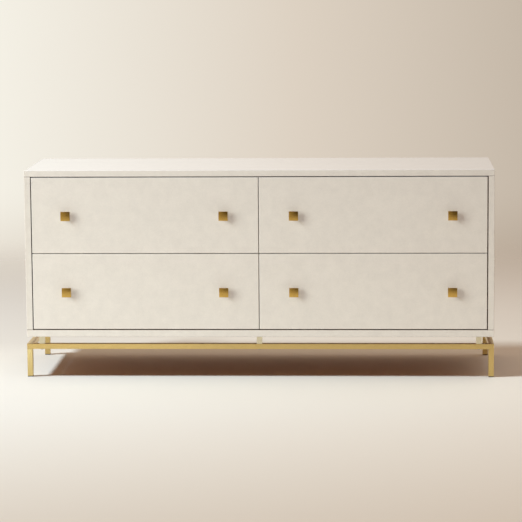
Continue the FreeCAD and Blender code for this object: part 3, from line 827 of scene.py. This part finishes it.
# Along X the floor is painted lighter and a little warmer to the right, and painted darker near the lamps.
PAINTED_LIGHT_SIDE, PAINTED_LIGHT_SHARES = (-1.2, 1.2), (1.11, 1.07, 1.02)
PAINTED_SHADE_SIDE, PAINTED_SHADE_SHARES = (-1.15, -2.6), (0.70, 0.70, 0.70)

# Places of the wall's three colours, in the X of the way looked, which paint light falling off away from the
# lamps, and of its darker foot, painted shade, in the Z.
WALL_LEFT, WALL_MIDDLE, WALL_RIGHT = -0.157, -0.032, 0.061
WALL_FOOT, FOOT_SHARES = (-0.097, -0.14), (0.84, 0.80, 0.77)
# What metal mirrors in front of the dresser, from left to right.
MIRRORED_FRONT = ((-0.35, (0.52, 0.415, 0.26)), (0.06, (0.02, 0.013, 0.006)))
# The room that lights the dresser: dark in front, with a glow behind that runs from left to right.
ROOM_FRONT = (0.11, 0.026, 0.008)
ROOM_GLOW = ((-0.9, (0.80, 0.59, 0.48)), (0.0, (0.55, 0.40, 0.33)), (0.9, (0.72, 0.66, 0.63)))
FRONT_TO_BACK = (-0.3, 0.55)
# At the right the glow is dimmer low down and brighter high up, by these shares.
GLOW_RIGHT = (0.1, 0.6)
GLOW_LEVELS = (((0.45, 0.1), 0.35), ((0.3, 0.6), 1.3))

# The camera that fits the photograph, with its turns in degrees and its focal length in pixels.
CAMERA_SPOT = (0.400, -8.536, 1.507)
YAW, PITCH, ROLL = 2.704, 7.525, -0.409
FOCAL_PIXELS, PHOTO_PIXELS = 2425.1, 522.0
SENSOR_WIDTH = 36.0


def disc(name, radius, sides):
    """A flat round sheet on the ground."""
    mesh = bpy.data.meshes.new(name)
    turn = 2.0 * math.pi / sides
    rim = [(radius * math.cos(turn * i), radius * math.sin(turn * i), 0.0) for i in range(sides)]
    mesh.from_pydata(rim, [], [list(range(sides))])
    return new_object(name, mesh)


def flag(name, across, past, spot):
    """A card that keeps a lamp's light off the left end, reaches past its rear edge and is itself unseen."""
    low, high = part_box("left_side_panel")
    bottom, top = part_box("bottom_panel")[0].z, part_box("top_panel")[1].z
    rear = high.y + past
    rim = []
    for y, z in ((low.y, bottom), (rear, bottom), (rear, top), (low.y, top)):
        end = Vector((low.x, y, z))
        rim.append(end + (Vector(spot) - end) * (across / (low.x - spot[0])))
    mesh = bpy.data.meshes.new(name)
    mesh.from_pydata(rim, [], [range(4)])
    card = new_object(name, mesh)
    for ray in ("camera", "diffuse", "glossy", "transmission", "volume_scatter"):
        setattr(card, f"visible_{ray}", False)
    return card


def floor_finish(settings):
    """Pale floor that fades out towards its rim and its back, with light and shade painted into its colour.
    """
    material, graph, shader = new_finish("studio floor", Roughness=0.8, Specular_IOR_Level=0.1)
    spot = graph.place()
    parts = graph.parts(spot)
    length = graph.vector_math("LENGTH", spot, result="Value")
    rim = graph.span(length, *RIM_FADE, 1.0, 0.0, smooth=True)
    back = graph.span(parts["Y"], *BACK_FADE, 1.0, 0.0, smooth=True)
    graph.feed(shader["Alpha"], graph.math("MULTIPLY", rim, back))
    # Painted light and shade along Y: darker towards the camera, lightest at the dresser's feet, darker
    # behind it.
    pale = graph.tones(
        parts["Y"],
        (FLOOR_NEAR, settings.floor_near),
        (FLOOR_MIDDLE, settings.floor),
        (FLOOR_FOOT, settings.floor_foot),
        (FLOOR_FAR, settings.floor_far),
    )
    # Painted light to the right and painted shade near the lamps.
    laid = graph.blend(graph.span(parts["X"], *PAINTED_LIGHT_SIDE), pale, graph.scaled(pale, PAINTED_LIGHT_SHARES))
    by_lamp = graph.span(parts["X"], *PAINTED_SHADE_SIDE, smooth=True)
    graph.feed(shader["Base Color"], graph.blend(by_lamp, laid, graph.scaled(laid, PAINTED_SHADE_SHARES)))
    return material


def studio_world(settings):
    """Wall colours for the camera and polished metal, with painted light on the lamps' side and painted
    shade at its foot, and a dimmer warm room for everything else.
    """
    world = bpy.data.worlds.new("studio")
    world.use_nodes = True
    graph = Graph(world.node_tree)
    background = world.node_tree.nodes["Background"]
    parts = graph.parts(graph.add("ShaderNodeTexCoord").outputs["Generated"])
    # Painted light: the wall is brightest on the lamps' side and falls off to the right.
    wall = graph.tones(
        parts["X"],
        (WALL_LEFT, settings.wall_left),
        (WALL_MIDDLE, settings.wall_middle),
        (WALL_RIGHT, settings.wall_right),
    )
    # Painted shade: the wall darkens at its foot.
    foot = graph.span(parts["Z"], *WALL_FOOT, smooth=True)
    wall = graph.blend(foot, wall, graph.scaled(wall, FOOT_SHARES))
    aside = graph.math("MULTIPLY", graph.math("ABSOLUTE", parts["X"]), 0.5)
    behind = graph.span(graph.math("ADD", parts["Y"], aside), *FRONT_TO_BACK, smooth=True)
    mirrored = graph.blend(behind, graph.tones(parts["X"], *MIRRORED_FRONT), wall)
    glow = graph.tones(parts["X"], *ROOM_GLOW)
    right = graph.span(parts["X"], *GLOW_RIGHT)
    for levels, share in GLOW_LEVELS:
        there = graph.math("MULTIPLY", right, graph.span(parts["Z"], *levels))
        glow = graph.blend(there, glow, graph.scaled(glow, (share, share, share)))
    room = graph.blend(behind, colour(ROOM_FRONT), glow)
    path = graph.add("ShaderNodeLightPath").outputs
    shiny = graph.math("MAXIMUM", path["Is Glossy Ray"], path["Is Transmission Ray"])
    unseen = graph.blend(shiny, room, mirrored)
    graph.feed(background.inputs["Color"], graph.blend(path["Is Camera Ray"], unseen, wall))
    bpy.context.scene.world = world


def lamp(name, spot, target, wide, high, power, tint):
    """An oblong soft lamp that faces a point and is unseen in polished metal."""
    data = bpy.data.lights.new(name, "AREA")
    data.shape = "RECTANGLE"
    data.size = wide
    data.size_y = high
    data.energy = power
    data.color = tint
    thing = new_object(name, data)
    thing.location = spot
    thing.rotation_mode = "QUATERNION"
    thing.rotation_quaternion = (Vector(target) - Vector(spot)).to_track_quat("-Z", "Y")
    thing.visible_glossy = False
    return thing


def spare_from_lamp(thing, how, spared):
    """Leave some objects out of those that a lamp lights, or of those that shade it."""
    group = bpy.data.collections.new(f"{thing.name} {how}")
    for each in spared:
        group.objects.link(each)
    for link in group.collection_objects:
        link.light_linking.link_state = "EXCLUDE"
    setattr(thing.light_linking, f"{how}_collection", group)


def keep_to(thing, lit):
    """Let a lamp light one object alone, and keep it out of the camera's sight."""
    group = bpy.data.collections.new(f"{thing.name} receiver")
    group.objects.link(lit)
    thing.light_linking.receiver_collection = group
    thing.visible_camera = False


def glint(name, node, spot, target, wide, power, tint):
    """A slim low lamp that lights one piece alone and shows in its polish."""
    thing = lamp(name, spot, target, wide, 0.08, power, tint)
    thing.visible_glossy = True
    keep_to(thing, NODES[node])


def stand_camera():
    """Long lens a little to the right of the middle, looking slightly down."""
    yaw, pitch, roll = (math.radians(angle) for angle in (YAW, PITCH, ROLL))
    ahead = Vector((-math.sin(yaw) * math.cos(pitch), math.cos(yaw) * math.cos(pitch), -math.sin(pitch)))
    level = Vector((math.cos(yaw), math.sin(yaw), 0.0))
    upright = level.cross(ahead)
    right = math.cos(roll) * level + math.sin(roll) * upright
    up = -math.sin(roll) * level + math.cos(roll) * upright
    data = bpy.data.cameras.new("camera")
    data.sensor_width = SENSOR_WIDTH
    data.lens = SENSOR_WIDTH * FOCAL_PIXELS / PHOTO_PIXELS
    camera = new_object("camera", data)
    turn = Matrix((right, up, -ahead)).transposed().to_4x4()
    camera.matrix_world = Matrix.Translation(CAMERA_SPOT) @ turn
    bpy.context.scene.camera = camera


class DRESSER_OT_set_stage(bpy.types.Operator):
    """Lay the floor and set the wall colour, the lamps and the camera"""

    bl_idname = "dresser.set_stage"
    bl_label = "Set stage"

    def execute(self, context):
        settings = context.scene.dresser_stage
        context.scene.view_settings.view_transform = "Standard"
        floor = disc("studio floor", FLOOR_RADIUS, FLOOR_SIDES)
        floor.data.materials.append(floor_finish(settings))
        studio_world(settings)
        key = lamp(
            "key lamp", spot=(-4.6, -1.25, 5.4), target=(0.0, -0.2, 0.3),
            wide=1.2, high=0.9, power=settings.key, tint=(0.83, 1.0, 1.23),
        )
        fill = lamp(
            "fill lamp", spot=(-5.37, -5.40, 2.71), target=(0.0, -0.22, 0.43),
            wide=5.2, high=3.9, power=settings.fill, tint=(0.93, 1.0, 1.0),
        )
        spare_from_lamp(key, "blocker", [NODES[name] for name in named("knobs")])
        spare_from_lamp(fill, "receiver", [floor])
        card = flag("lamp flag", across=40 * MM, past=75 * MM, spot=key.location)
        spare_from_lamp(fill, "blocker", [card])
        glint(
            "leg glint", "front_left_leg", spot=(-0.95, -0.95, 0.07), target=(-0.8, -0.22, 0.06),
            wide=0.3, power=0.3, tint=(0.72, 1.0, 1.4),
        )
        glint(
            "rail glint", "front_rail", spot=(-0.7, -1.5, 0.05), target=(-0.55, -0.22, 0.1),
            wide=0.8, power=0.35, tint=(1.0, 1.0, 0.85),
        )
        lift = lamp(
            "floor lamp", spot=(1.1, 0.25, 1.5), target=(1.0, 0.1, 0.0),
            wide=0.5, high=0.5, power=1.2, tint=(0.8, 1.0, 1.3),
        )
        keep_to(lift, floor)
        stand_camera()
        return {"FINISHED"}


class DRESSER_PT_sidebar(bpy.types.Panel):
    """Steps and settings of the dresser"""

    bl_idname = "DRESSER_PT_sidebar"
    bl_label = "Dresser"
    bl_space_type = "VIEW_3D"
    bl_region_type = "UI"
    bl_category = "Dresser"

    def draw(self, context):
        for settings in SETTINGS:
            group = getattr(context.scene, settings)
            box = self.layout.box()
            for prop in group.bl_rna.properties:
                if prop.identifier not in {"rna_type", "name"}:
                    box.prop(group, prop.identifier)
        for step in STEPS:
            self.layout.operator(step.bl_idname)


SETTINGS = {
    "dresser_shagreen": ShagreenSettings,
    "dresser_wood": WoodSettings,
    "dresser_brass": BrassSettings,
    "dresser_screws": ScrewSettings,
    "dresser_slides": SlideSettings,
    "dresser_stage": StageSettings,
}
STEPS = (
    DRESSER_OT_cover_case,
    DRESSER_OT_line_case,
    DRESSER_OT_finish_boxes,
    DRESSER_OT_finish_stand,
    DRESSER_OT_finish_slides,
    DRESSER_OT_drive_case_screws,
    DRESSER_OT_drive_drawer_screws,
    DRESSER_OT_set_stage,
)


def register():
    for kind in (*SETTINGS.values(), *STEPS, DRESSER_PT_sidebar):
        bpy.utils.register_class(kind)
    for name, kind in SETTINGS.items():
        setattr(bpy.types.Scene, name, PointerProperty(type=kind))


def unregister():
    for name in SETTINGS:
        delattr(bpy.types.Scene, name)
    for kind in reversed((*SETTINGS.values(), *STEPS, DRESSER_PT_sidebar)):
        bpy.utils.unregister_class(kind)


def main():
    register()
    bpy.ops.dresser.cover_case()
    bpy.ops.dresser.line_case()
    bpy.ops.dresser.finish_boxes()
    bpy.ops.dresser.finish_stand()
    bpy.ops.dresser.finish_slides()
    bpy.ops.dresser.drive_case_screws()
    bpy.ops.dresser.drive_drawer_screws()
    bpy.ops.dresser.set_stage()


if __name__ == "__main__":
    main()
